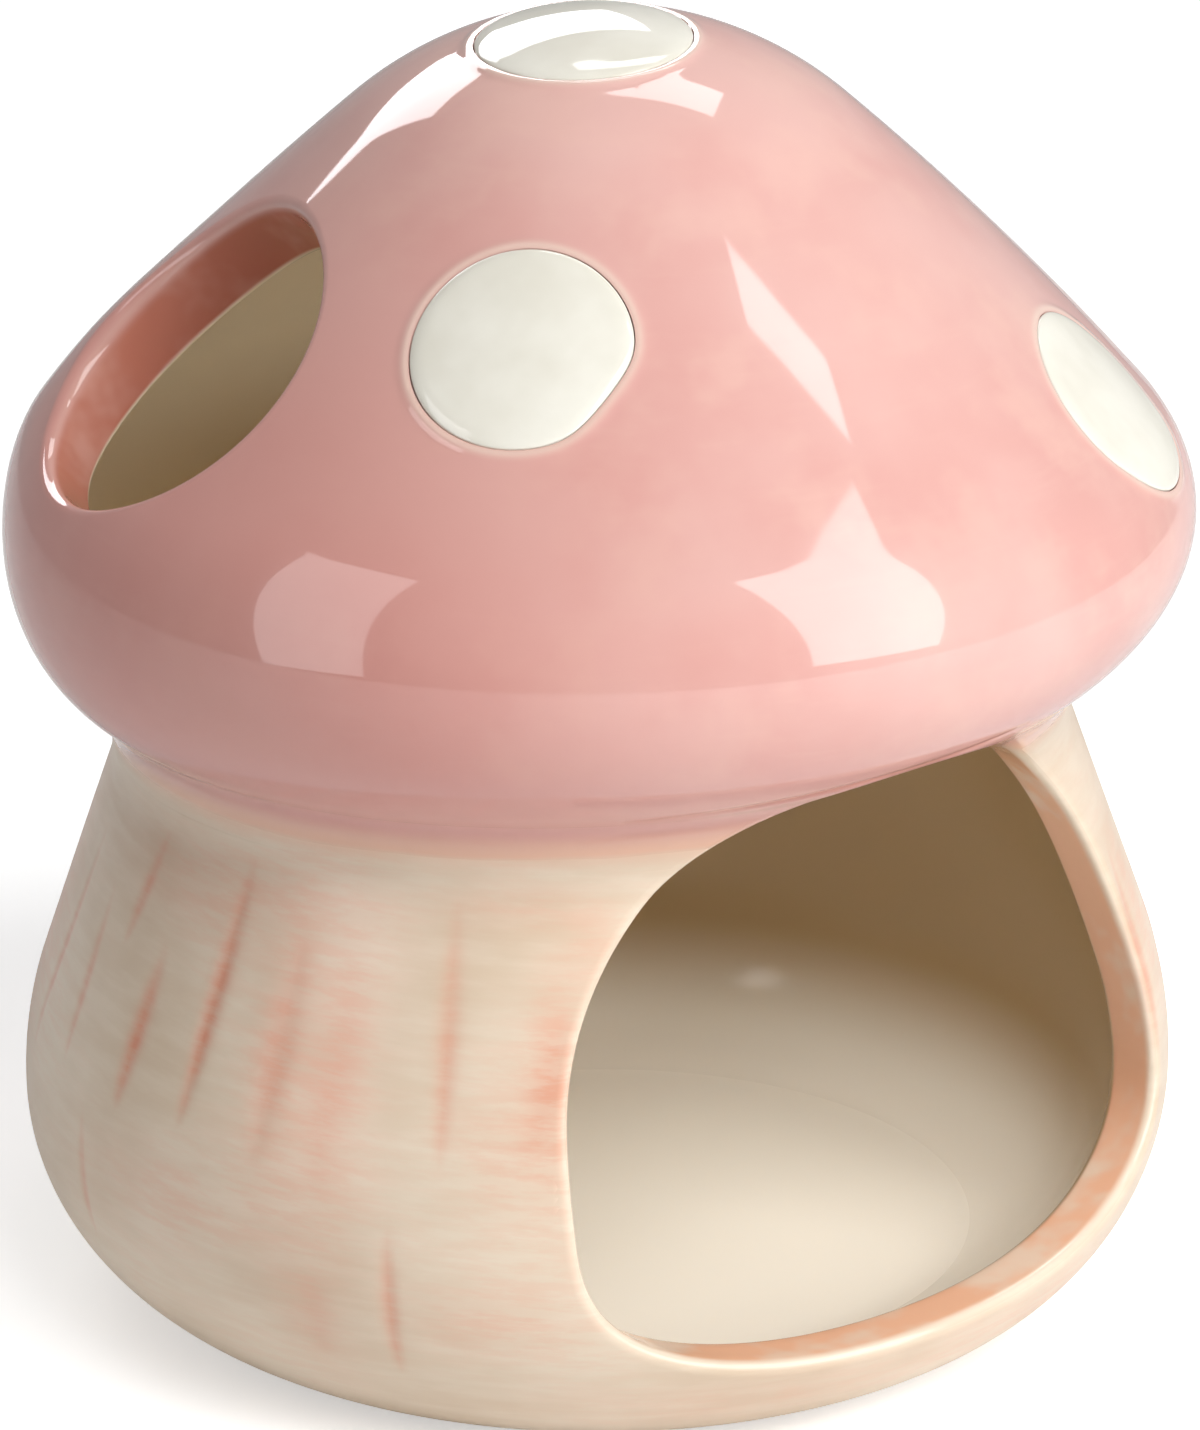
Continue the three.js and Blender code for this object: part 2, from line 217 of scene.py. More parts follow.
class Straight:
    """A straight stretch of the profile, going up."""

    def __init__(self, start, end):
        self.start = start
        self.length = np.linalg.norm(end - start)
        self.along = (end - start) / self.length

    def height(self, r, z):
        return (r - self.start[0]) * self.along[1] - (z - self.start[1]) * self.along[0]

    def covers(self, r, z):
        s = (r - self.start[0]) * self.along[0] + (z - self.start[1]) * self.along[1]
        return (s >= -1e-6) & (s <= self.length + 1e-6)


def outer_profile():
    """The stretches of the outside, from the crown down to the foot. Each touches the next."""
    crown_centre = np.array([0, RIM_HEIGHT + CAP_RISE - CROWN_RADIUS])
    rim_centre = np.array([CAP_RADIUS - RIM_RADIUS, RIM_HEIGHT])

    # The long slope touches the crown and the rim.
    span = rim_centre - crown_centre
    length = np.linalg.norm(span)
    span = span / length
    to_crown, to_rim = SLOPE_RADIUS - CROWN_RADIUS, SLOPE_RADIUS - RIM_RADIUS
    down = (to_crown ** 2 - to_rim ** 2 + length ** 2) / (2 * length)
    aside = math.sqrt(to_crown ** 2 - down ** 2)
    slope_centre = crown_centre + down * span + aside * np.array([span[1], -span[0]])
    slope = Arc(slope_centre, SLOPE_RADIUS, angle_of(crown_centre - slope_centre),
                angle_of(rim_centre - slope_centre))
    crown = Arc(crown_centre, CROWN_RADIUS, math.pi / 2, slope.start)

    # The hollow of the neck touches the underside of the rim, and a straight shoulder leads to the belly.
    reach = NECK_RADIUS + NECK_FILLET
    drop = math.sqrt((RIM_RADIUS + NECK_FILLET) ** 2 - (reach - rim_centre[0]) ** 2)
    neck_centre = np.array([reach, RIM_HEIGHT - drop])
    under = angle_of(neck_centre - rim_centre) - 2 * math.pi
    rim = Arc(rim_centre, RIM_RADIUS, slope.end, under)
    belly_centre = np.array([BELLY_RADIUS - BELLY_CURVE, BELLY_HEIGHT])
    between = neck_centre - belly_centre
    lean = angle_of(between) - math.acos((BELLY_CURVE + NECK_FILLET) / np.linalg.norm(between))
    neck = Arc(neck_centre, NECK_FILLET, under + math.pi, math.pi + lean, -1)
    belly = Arc(belly_centre, BELLY_CURVE, lean, 0)
    shoulder = Straight(belly.at(lean), neck.at(math.pi + lean))

    tuck = BELLY_RADIUS - FOOT_RADIUS
    foot_curve = (tuck ** 2 + BELLY_HEIGHT ** 2) / (2 * tuck)
    foot_centre = np.array([BELLY_RADIUS - foot_curve, BELLY_HEIGHT])
    foot_end = angle_of(np.array([FOOT_RADIUS, 0]) - foot_centre) - 2 * math.pi
    foot = Arc(foot_centre, foot_curve, 0, foot_end)
    return {"crown": crown, "slope": slope, "rim": rim, "neck": neck, "shoulder": shoulder, "belly": belly,
            "foot": foot}


PROFILE = outer_profile()
NECK = PROFILE["neck"]
NECK_HEIGHT = NECK.centre[1]


def level(points):
    """How far points lie above the glaze, or below it with a minus."""
    r, z = np.hypot(points[:, 0], points[:, 1]), points[:, 2]
    nearest = np.full(len(points), np.inf)
    for stretch in PROFILE.values():
        height = stretch.height(r, z)
        nearest = np.where(stretch.covers(r, z) & (np.abs(height) < np.abs(nearest)), height, nearest)
    return nearest


def settled(points):
    """The hand-made set of the neck. Nothing moves at the foot or at the crown."""
    rising, _ = across(TILT_AZIMUTH)
    z = points[:, 2]
    above = np.clip((z - NECK_HEIGHT) / TILT_REACH, 0, 1)
    stem_share = np.sin(math.pi / 2 * z / NECK_HEIGHT)
    cap_share = np.cos(math.pi / 2 * above) ** 2
    share = np.where(z < NECK_HEIGHT, stem_share, cap_share)
    moved = points - NECK_SHIFT * (share ** 2)[:, None] * rising
    moved[:, 2] += NECK_TILT * (points @ rising) * share
    return moved


class View:
    """A way of looking at the pot: a middle point on the glaze, out of it, across and up."""

    def __init__(self, azimuth, place, slant):
        outwards, self.across = across(azimuth)
        self.out = math.cos(slant) * outwards + math.sin(slant) * np.array([0, 0, 1])
        self.up = np.cross(self.out, self.across)
        self.middle = place[0] * outwards + np.array([0, 0, place[1]])

    def drape(self, u, v, height):
        """Points seen at (u, v), at a height above the glaze."""
        points = self.middle + np.outer(u, self.across) + np.outer(v, self.up) + FAR * self.out
        for _ in range(DRAPE_STEPS):
            points = points - np.outer(level(points) - height, self.out)
        return points

    def seen(self, points):
        """Where points are seen: across and up."""
        return (points - self.middle) @ self.across, (points - self.middle) @ self.up


def view_of_cap(azimuth, rise):
    """Square to the cap's surface, at a height above the rim."""
    for stretch in (PROFILE["crown"], PROFILE["slope"], PROFILE["rim"]):
        slant = math.asin(min(1, (RIM_HEIGHT + rise - stretch.centre[1]) / stretch.radius))
        if slant >= stretch.end:
            return View(azimuth, stretch.at(slant), slant)


top_slant = math.pi / 2 - math.radians(TOP_DISC_TILT)
DISCS = [("disc_top", View(TOP_DISC_AZIMUTH, PROFILE["crown"].at(top_slant), top_slant))]
DISCS += [(name, view_of_cap(azimuth, rise)) for name, azimuth, rise in SIDE_DISCS]


# Modelling

def select_only(piece):
    bpy.ops.object.select_all(action="DESELECT")
    piece.select_set(True)
    bpy.context.view_layer.objects.active = piece


def points_of(piece):
    flat = np.empty(3 * len(piece.data.vertices))
    piece.data.vertices.foreach_get("co", flat)
    return flat.reshape(-1, 3)


def place_points(piece, points):
    piece.data.vertices.foreach_set("co", points.ravel())
    piece.data.update()


class Pen:
    """Draws a profile as the edges of a new piece, which is then turned round the Z axis."""

    def __init__(self, name, start):
        bpy.ops.object.select_all(action="DESELECT")
        bpy.ops.mesh.primitive_plane_add(size=MM, location=(start[0], 0, start[1]))
        bpy.ops.object.transform_apply(location=True, rotation=True, scale=True)
        self.piece = bpy.context.object
        self.piece.name = name
        self.piece.data.name = name
        self.at = np.array(start, float)
        bpy.ops.object.mode_set(mode="EDIT")
        bpy.ops.mesh.select_mode(type="VERT")
        bpy.ops.mesh.select_all(action="SELECT")
        bpy.ops.mesh.merge(type="CENTER")

    def go(self, end, spacing=FAR):
        """A straight stretch."""
        way = np.array(end, float) - self.at
        steps = max(1, math.ceil(np.linalg.norm(way) / spacing))
        move = (way[0] / steps, 0, way[1] / steps)
        for _ in range(steps):
            bpy.ops.mesh.extrude_region_move(TRANSFORM_OT_translate={"value": move})
        self.at = self.at + way

    def swing(self, centre, turn, spacing):
        """A round stretch about a centre."""
        arm = self.at - centre
        steps = max(2, math.ceil(abs(turn) * np.linalg.norm(arm) / spacing))
        bpy.ops.mesh.spin(steps=steps, angle=turn, center=(centre[0], 0, centre[1]), axis=(0, 1, 0))
        c, s = math.cos(turn), math.sin(turn)
        self.at = centre + np.array([c * arm[0] - s * arm[1], s * arm[0] + c * arm[1]])

    def follow(self, arc, start, end, spacing=RING_SPACING):
        self.swing(arc.centre, end - start, spacing)

    def turned(self, steps):
        bpy.ops.object.mode_set(mode="OBJECT")
        select_only(self.piece)
        bpy.ops.object.modifier_add(type="SCREW")
        screw = self.piece.modifiers[-1]
        screw.steps = screw.render_steps = steps
        bpy.ops.object.modifier_apply(modifier=screw.name)
        bpy.ops.object.mode_set(mode="EDIT")
        bpy.ops.mesh.select_all(action="SELECT")
        bpy.ops.mesh.remove_doubles(threshold=TINY)
        bpy.ops.mesh.normals_make_consistent(inside=False)
        bpy.ops.object.mode_set(mode="OBJECT")
        return self.piece


def opening_tool(name, radius, edge):
    """A round tool that cuts through the wall and rounds its edges outside and inside."""
    inside = -WALL - FLARE * INNER_EDGE
    pen = Pen(name, (0, FAR))
    pen.go((radius + 2 * edge, FAR))
    pen.go((radius + 2 * edge, FLARE * edge))
    pen.go((radius + edge, 0))
    pen.swing(np.array([radius + edge, -edge]), math.pi / 2, EDGE_SPACING)
    pen.go((radius, INNER_EDGE - WALL), RING_SPACING)
    pen.swing(np.array([radius + INNER_EDGE, INNER_EDGE - WALL]), math.pi / 2, EDGE_SPACING)
    pen.go((radius + 2 * INNER_EDGE, inside))
    pen.go((radius + 2 * INNER_EDGE, inside - WALL))
    pen.go((0, inside - WALL))
    return pen.turned(CUT_STEPS)


def draped(tool, view, outline, low, high):
    """Lays a turned tool onto the glaze. Past the low and the high height it follows the view."""
    points = points_of(tool)
    u, v = outline(np.arctan2(points[:, 1], points[:, 0]), np.hypot(points[:, 0], points[:, 1]))
    height = np.clip(points[:, 2], low, high)
    past = points[:, 2] - height
    place_points(tool, view.drape(u, v, height) + np.outer(past, view.out))
    return tool


def round_outline(turn, radius):
    return radius * np.cos(turn), radius * np.sin(turn)


def door_outline(turn, radius):
    """An egg: half an ellipse above its widest part and a squarer half below."""
    grow = radius - DOOR_HALF_WIDTH
    c, s = np.cos(turn), np.sin(turn)
    power = 2 / DOOR_SQUARENESS
    shrink = np.clip(radius / DOOR_HALF_WIDTH, 0, 1)
    down = np.abs(s) ** power
    side = np.sign(c) * np.abs(c) ** power * radius
    high = (DOOR_TOP - DOOR_MIDDLE + np.maximum(grow, 0)) * shrink
    low = (DOOR_MIDDLE - DOOR_BOTTOM + np.maximum(grow, 0)) * shrink
    sill = DOOR_SILL_RISE * side * down - low * down
    return np.where(s >= 0, radius * c, side), np.where(s >= 0, high * s, sill)


def cut(piece, tool):
    select_only(piece)
    bpy.ops.object.modifier_add(type="BOOLEAN")
    boolean = piece.modifiers[-1]
    boolean.operation = "DIFFERENCE"
    boolean.solver = "MANIFOLD"
    boolean.object = tool
    bpy.ops.object.modifier_apply(modifier=boolean.name)


def floor_corner():
    """Middle of the round corner between the inside wall and the floor."""
    height = FLOOR + FLOOR_CORNER
    side = math.sqrt((BELLY_CURVE - WALL - FLOOR_CORNER) ** 2 - (height - BELLY_HEIGHT) ** 2)
    return np.array([PROFILE["belly"].centre[0] + side, height])


CORNER = floor_corner()
COIL_ROOT = NECK.at(SEAM, -COIL_DEPTH)
SEAM_INSIDE = math.pi - math.asin((NECK.at(SEAM)[1] - NECK_HEIGHT) / (NECK_FILLET + WALL))


def turned_cap():
    """The hollow cap, down to its side of the joint."""
    crown, slope, rim = PROFILE["crown"], PROFILE["slope"], PROFILE["rim"]
    pen = Pen("cap", crown.at(crown.start))
    for arc in (crown, slope, rim):
        pen.follow(arc, arc.start, arc.end)
    pen.follow(NECK, NECK.start, SEAM - COIL_SPREAD, EDGE_SPACING)
    pen.go(COIL_ROOT)
    pen.go(NECK.at(SEAM_INSIDE, -WALL))
    pen.follow(NECK, SEAM_INSIDE, NECK.start, INSIDE_SPACING)
    for arc in (rim, slope, crown):
        pen.follow(arc, arc.end, arc.start, INSIDE_SPACING)
    return pen.turned(TURNS)


def turned_stem():
    """The hollow stem with its foot ring, its floor and its side of the joint."""
    belly, foot = PROFILE["belly"], PROFILE["foot"]
    meet = angle_of(CORNER - belly.centre)
    ring = FOOT_RADIUS - FOOT_RING
    reach = foot.radius - FOOT_ROUNDING
    drop = foot.centre[1] - FOOT_ROUNDING
    rounding = np.array([foot.centre[0] + math.sqrt(reach ** 2 - drop ** 2), FOOT_ROUNDING])
    meet_foot = angle_of(rounding - foot.centre) - 2 * math.pi

    pen = Pen("stem", (0, FOOT_RECESS))
    pen.go((ring - FOOT_RECESS, FOOT_RECESS))
    pen.go((ring, 0))
    pen.go((rounding[0], 0))
    pen.swing(rounding, meet_foot + math.pi / 2, EDGE_SPACING)
    pen.follow(foot, meet_foot, foot.start)
    pen.follow(belly, belly.end, belly.start)
    pen.go(NECK.at(NECK.end), RING_SPACING)
    pen.follow(NECK, NECK.end, SEAM + COIL_SPREAD, EDGE_SPACING)
    pen.go(COIL_ROOT)
    pen.go(NECK.at(SEAM_INSIDE, -WALL))
    pen.follow(NECK, SEAM_INSIDE, NECK.end, INSIDE_SPACING)
    pen.go(belly.at(belly.start, -WALL), INSIDE_SPACING)
    pen.follow(belly, belly.start, meet, INSIDE_SPACING)
    pen.swing(CORNER, -math.pi / 2 - meet, INSIDE_SPACING)
    pen.go((0, FLOOR), INSIDE_SPACING)
    return pen.turned(TURNS)


def turned_coil():
    """The coil of slip that fills the groove between cap and stem."""
    pen = Pen("neck_slip_joint", NECK.at(SEAM - COIL_SPREAD))
    pen.follow(NECK, SEAM - COIL_SPREAD, SEAM + COIL_SPREAD, EDGE_SPACING)
    pen.go(COIL_ROOT)
    pen.go(NECK.at(SEAM - COIL_SPREAD))
    return pen.turned(TURNS)


def opening_tools():
    """The tools for the door and for the window."""
    low = -WALL - FLARE * INNER_EDGE
    door_view = View(0, (BELLY_RADIUS, DOOR_MIDDLE), 0)
    door = opening_tool("door_tool", DOOR_HALF_WIDTH, DOOR_EDGE)
    draped(door, door_view, door_outline, low, FLARE * DOOR_EDGE)
    window_view = view_of_cap(WINDOW_AZIMUTH, WINDOW_RISE)
    window = opening_tool("window_tool", WINDOW_RADIUS, WINDOW_EDGE)
    draped(window, window_view, round_outline, low, FLARE * WINDOW_EDGE)
    return door, window


def disc_outline(name):
    """The front disc has a soft flat at its lower right. The others are round."""
    if name != "disc_front_left":
        return round_outline

    def outline(turn, radius):
        facing = np.maximum(np.cos(turn - math.radians(FLAT_TURN)), 0)
        share = (1 + (facing / FLAT_SHARE) ** FLAT_SOFTNESS) ** (-1 / FLAT_SOFTNESS)
        return radius * share * np.cos(turn), radius * share * np.sin(turn)
    return outline


def pocket_tool(name, view):
    """Cuts the pocket that a disc sits in, with a fine gap round and under it."""
    radius, bottom = DISC_RADIUS + DISC_GAP, -DISC_SEAT - DISC_GAP
    pen = Pen("pocket_tool", (0, FAR))
    pen.go((radius, FAR))
    pen.go((radius, MM), MM)
    pen.go((radius, bottom), MM)
    pen.go((0, bottom), MM)
    return draped(pen.turned(DISC_STEPS), view, disc_outline(name), bottom, MM)


def disc(name, view):
    """A white disc with a soft rounded edge and a slightly domed face."""
    pen = Pen(name.replace("disc", "spot"), (0, -DISC_SEAT))
    pen.go((DISC_RADIUS, -DISC_SEAT), MM)
    for i in range(DISC_EDGE_STEPS + 1):
        turn = math.pi / 2 * i / DISC_EDGE_STEPS
        side = DISC_EDGE * (1 - math.cos(turn))
        pen.go((DISC_RADIUS - side, DISC_DOME * (1 - DISC_FALL) * math.sin(turn)))
    face = DISC_RADIUS - DISC_EDGE
    for i in range(1, DISC_FACE_STEPS + 1):
        share = 1 - i / DISC_FACE_STEPS
        pen.go((face * share, DISC_DOME * (1 - DISC_FALL * share ** 2)))
    return draped(pen.turned(DISC_STEPS), view, disc_outline(name), -DISC_SEAT, MM)


def selected_faces(piece, wanted):
    """Selects the faces whose middles are wanted."""
    select_only(piece)
    middles = np.empty(3 * len(piece.data.polygons))
    piece.data.polygons.foreach_get("center", middles)
    chosen = wanted(middles.reshape(-1, 3))
    bpy.ops.object.mode_set(mode="EDIT")
    bpy.ops.mesh.select_mode(type="FACE")
    bpy.ops.mesh.select_all(action="DESELECT")
    bpy.ops.object.mode_set(mode="OBJECT")
    piece.data.polygons.foreach_set("select", chosen)
    bpy.ops.object.mode_set(mode="EDIT")


def refined(piece, wanted, cuts):
    """Finer faces where the glaze has fine relief."""
    selected_faces(piece, wanted)
    bpy.ops.mesh.subdivide(number_cuts=cuts)
    bpy.ops.object.mode_set(mode="OBJECT")


def ring_distance(points, name, view):
    """Distance from the edge of a disc, seen square to it."""
    u, v = view.seen(points)
    turn, radius = np.arctan2(v, u), np.hypot(u, v)
    edge = np.hypot(*disc_outline(name)(turn, np.full(len(points), DISC_RADIUS)))
    facing = points @ view.out > view.middle @ view.out - DISC_REACH
    return np.where(facing, radius - edge, FAR)


def from_lips(points):
    """Distance from the middle line of the nearest lip."""
    distances = [np.abs(ring_distance(points, name, view) - LIP_WIDTH) for name, view in DISCS]
    return np.min(distances, axis=0)


def lip_strengths(points):
    """How strongly the raised lips round the discs show as a pale line: thinner glaze on them and a
    painted highlight.
    """
    return np.exp(-(from_lips(points) / LIP_WIDTH) ** 2) * (level(points) > -DISC_GAP)


def drawn_place(points):
    """Azimuth in degrees and height of points, before the neck is settled."""
    return np.degrees(np.arctan2(points[:, 0], -points[:, 1])), points[:, 2]


def apart(azimuth, other):
    """Degrees from one azimuth to another, the short way round."""
    return (azimuth - other + 180) % 360 - 180


def stroke_strengths(points, widen=1.0):
    """How strongly each scored stroke marks the points, with tapered ends."""
    azimuth, height = drawn_place(points)
    radius = np.hypot(points[:, 0], points[:, 1])
    strength = np.zeros(len(points))
    for top_azimuth, top, bottom_azimuth, bottom, width, weight in ALL_STROKES:
        along = (top * MM - height) / ((top - bottom) * MM)
        middle = top_azimuth + (bottom_azimuth - top_azimuth) * along
        aside = np.radians(apart(azimuth, middle)) * radius
        taper = np.sin(math.pi * np.clip(along, 0, 1)) ** STROKE_TAPER
        half = width * MM / 2 * widen * (STROKE_TIP + (1 - STROKE_TIP) * taper)
        mark = np.exp(-(aside / half) ** 2) * taper
        mark = mark * (STROKE_START + (1 - STROKE_START) * along)
        strength = np.maximum(strength, weight * np.where((along > 0) & (along < 1), mark, 0))
    return strength


def wash_strengths(points):
    """How strongly the washes of colour tint the points."""
    azimuth, height = drawn_place(points)
    strength = np.zeros(len(points))
    for middle, middle_height, half_width, half_height, weight in ALL_WASHES:
        across_it = apart(azimuth, middle) / half_width
        up_it = (height / MM - middle_height) / half_height
        strength += weight * np.exp(-across_it ** 2 - up_it ** 2)
    return np.clip(strength, 0, 1)


def crease_strengths(points, widen=1.0):
    """How strongly the crease above the door marks the points. It fades out at both ends."""
    azimuth, height = drawn_place(points)
    (first, low), (last, high) = CREASE
    along = np.clip((azimuth - first) / (last - first), 0, 1)
    aside = (height - low - (high - low) * along) / (CREASE_WIDTH * widen)
    return np.exp(-aside ** 2) * np.sin(math.pi * along) ** 0.5 * (level(points) > -WALL / 2)


def near_details(points):
    """Where the cap needs finer faces, for the lips and the crease."""
    near_lips = (from_lips(points) < 1.6 * MM) & (level(points) > -MM)
    return near_lips | (crease_strengths(points, 2.5) > 0.05)


def near_strokes(points):
    """Where the stem needs finer faces."""
    return (stroke_strengths(points, 1.8) > 0.02) & (level(points) > -MM)


def mound(points, middle, middle_height, reach):
    """1 at a place on the pot, falling softly to 0 round it."""
    azimuth, height = drawn_place(points)
    aside = np.radians(apart(azimuth, middle)) * np.hypot(points[:, 0], points[:, 1])
    return np.exp(-(aside ** 2 + (height - middle_height) ** 2) / reach ** 2)


def relief(points):
    """Height of the relief in the glaze: the swelling, the lips, the scored strokes and the crease."""
    height = SWELLING_RISE * mound(points, SWELLING_AZIMUTH, SWELLING_HEIGHT, SWELLING_REACH)
    for name, view in DISCS:
        tall = TOP_LIP_HEIGHT if name == "disc_top" else LIP_HEIGHT
        aside = (ring_distance(points, name, view) - DISC_GAP - LIP_WIDTH) / LIP_WIDTH
        height += tall * np.where(aside < 0, np.exp(-aside ** 2), np.exp(-(aside / LIP_TAIL) ** 2))
    return height - STROKE_DEPTH * stroke_strengths(points) - CREASE_DEPTH * crease_strengths(points)


def outward(points):
    """Unit vectors square to the glaze."""
    step = 0.001 * MM
    slopes = [level(points + step * axis) - level(points - step * axis) for axis in np.eye(3)]
    vectors = np.stack(slopes, axis=1)
    return vectors / np.linalg.norm(vectors, axis=1, keepdims=True)


def formed(points):
    """Points of the turned form in their final places, with relief and the set of the neck."""
    height = level(points)
    shallow = np.clip(1 + height / RELIEF_DEPTH, 0, 1)
    deep = np.clip((-height - RELIEF_DEPTH) / (WALL - RELIEF_DEPTH), 0, 1)
    slip = THICKENING * mound(points, THICKENING_AZIMUTH, THICKENING_HEIGHT, THICKENING_REACH)
    rise = np.where(np.isfinite(height), relief(points) * shallow - slip * deep, 0)
    near = np.abs(rise) > TINY / 10
    moved = points.copy()
    moved[near] += rise[near][:, None] * outward(points[near])
    return settled(moved)


def other_side():
    """Strokes and washes like those in front, all round the rest of the stem."""
    chance = random.Random(11)
    strokes, washes = [], []
    azimuth, end = OTHER_SIDE
    while azimuth < end:
        top, long = chance.uniform(38, 61), chance.uniform(13, 27)
        lean = -chance.uniform(0, 3)
        width, strength = chance.uniform(1.2, 2.4), chance.uniform(0.4, 1)
        strokes.append((azimuth, top, azimuth + lean, max(12, top - long), width, strength))
        middle, half_width = chance.uniform(20, 56), chance.uniform(3, 8)
        half_height, strength = chance.uniform(4, 14), chance.uniform(0.2, 0.6)
        washes.append((azimuth + 4, middle, half_width, half_height, strength))
        azimuth += chance.uniform(7, 13)
    return strokes, washes


more_strokes, more_washes = other_side()
ALL_STROKES = STROKES + more_strokes
ALL_WASHES = WASHES + more_washes


def attribute(piece, name, values):
    """Keeps a number for each point, for the glazes to read."""
    made = piece.data.attributes.new(name, "FLOAT", "POINT")
    made.data.foreach_set("value", values.astype(np.float32))


def in_cavity(points):
    """1 on the walls, the floor corner and the floor of the hollow, and 0 out in the openings."""
    r, z = np.hypot(points[:, 0], points[:, 1]), points[:, 2]
    wall = -level(points) - (WALL - INNER_EDGE)
    from_middle = np.hypot(np.maximum(r - CORNER[0], 0), np.minimum(z - CORNER[1], 0))
    low = np.where(z < CORNER[1], FLOOR_CORNER + INNER_EDGE - from_middle, 0)
    return np.clip(np.maximum(wall, low) / INNER_EDGE, 0, 1)


def painted_and_formed(piece):
    """Keeps what the brush did as attributes, then puts every point in its final place."""
    points = points_of(piece)
    height = level(points)
    attribute(piece, "stroke", stroke_strengths(points, 1.2))
    attribute(piece, "lip", lip_strengths(points))
    attribute(piece, "crease", crease_strengths(points, 1.2))
    attribute(piece, "wash", wash_strengths(points))
    attribute(piece, "edge", np.sin(np.clip(-height / DOOR_EDGE, 0, 1) * math.pi))
    attribute(piece, "inside", np.clip(-height / WALL, 0, 1))
    attribute(piece, "cavity", in_cavity(points))
    place_points(piece, formed(points))


def smooth(piece, uncut=None):
    """Smooth shading. Beside the cuts it is taken from the same piece before it was cut."""
    select_only(piece)
    bpy.ops.object.shade_smooth_by_angle(angle=SMOOTH_ANGLE)
    if uncut:
        select_only(uncut)
        bpy.ops.object.shade_smooth_by_angle(angle=SMOOTH_ANGLE)
        select_only(piece)
        bpy.ops.object.modifier_add(type="DATA_TRANSFER")
        transfer = piece.modifiers[-1]
        transfer.object = uncut
        transfer.use_loop_data = True
        transfer.data_types_loops = {"CUSTOM_NORMAL"}
        transfer.loop_mapping = "POLYINTERP_NEAREST"
        transfer.vertex_group = "turned"
        bpy.ops.object.modifier_apply(modifier=transfer.name)


def made_shell(piece, tools, fine, cuts):
    """Cuts a turned shell and gives it its relief, its paint and clean shading."""
    if fine:
        refined(piece, fine, cuts)
    select_only(piece)
    bpy.ops.object.duplicate()
    uncut = bpy.context.object
    for tool in tools:
        cut(piece, tool)
    height = level(points_of(piece))
    turned_points = np.flatnonzero((np.abs(height) < TINY) | (np.abs(height + WALL) < TINY))
    piece.vertex_groups.new(name="turned").add(turned_points.tolist(), 1, "REPLACE")
    painted_and_formed(piece)
    place_points(uncut, formed(points_of(uncut)))
    smooth(piece, uncut)
    bpy.data.objects.remove(uncut)


def finished(piece, material):
    """One finish all over the piece."""
    piece.data.materials.clear()
    piece.data.materials.append(material)
    piece.data.polygons.foreach_set("material_index", np.zeros(len(piece.data.polygons), np.int32))


def seated(piece, slot, *nodes):
    """Gives a piece its body and hides the solids that it stands for. The slot is not used."""
    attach(piece, "root")
    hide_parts(*nodes)


# Finishes

def srgb(red, green, blue):
    """A colour as the eye names it, from 0 to 255, made linear."""
    shares = [c / 255 for c in (red, green, blue)]
    return tuple(c / 12.92 if c < 0.04045 else ((c + 0.055) / 1.055) ** 2.4 for c in shares) + (1,)


class Value:
    """A number that changes over a surface. Arithmetic on it adds Math nodes."""

    def __init__(self, finish, socket):
        self.finish, self.socket = finish, socket

    def math(self, operation, *values, clamp=False):
        sockets = dict(enumerate(values))
        return self.finish.node("Math", sockets, operation=operation, use_clamp=clamp)

    def __add__(self, other):
        return self.math("ADD", self, other)

    def __sub__(self, other):
        return self.math("SUBTRACT", self, other)

    def __rsub__(self, other):
        return self.math("SUBTRACT", other, self)

    def __mul__(self, other):
        return self.math("MULTIPLY", self, other)

    def __pow__(self, other):
        return self.math("POWER", self, other)

    __radd__ = __add__
    __rmul__ = __mul__

    def clamped(self):
        return self.math("ADD", self, 0.0, clamp=True)

    def smooth(self, low, high):
        """0 below low, 1 above high and smooth between."""
        sockets = {"Value": self, "From Min": low, "From Max": high}
        return self.finish.node("MapRange", sockets, interpolation_type="SMOOTHSTEP")


class Finish:
    """The node tree of a material or of the world."""

    def __init__(self, tree):
        self.tree = tree

    def node(self, kind, sockets=None, output=0, **settings):
        """A new node: its type, its settings, and the values or links of its sockets."""
        made = self.tree.nodes.new("ShaderNode" + kind)
        for name, value in settings.items():
            setattr(made, name, value)
        for key, value in (sockets or {}).items():
            if isinstance(value, Value):
                self.tree.links.new(value.socket, made.inputs[key])
            else:
                made.inputs[key].default_value = value
        return Value(self, made.outputs[output])

    def mixed(self, share, first, second):
        """A colour between two others."""
        return self.node("Mix", {0: share, 6: first, 7: second}, output=2, data_type="RGBA")

    def noise(self, place, scale, detail=2.0, roughness=0.5, stretch=(1, 1, 1)):
        """A soft random pattern, finer along the ways that are stretched."""
        stretched = self.node("Mapping", {"Vector": place, "Scale": stretch})
        sockets = {"Vector": stretched, "Scale": scale, "Detail": detail, "Roughness": roughness}
        return self.node("TexNoise", sockets)

    def attribute(self, name):
        return self.node("Attribute", output="Fac", attribute_name=name)


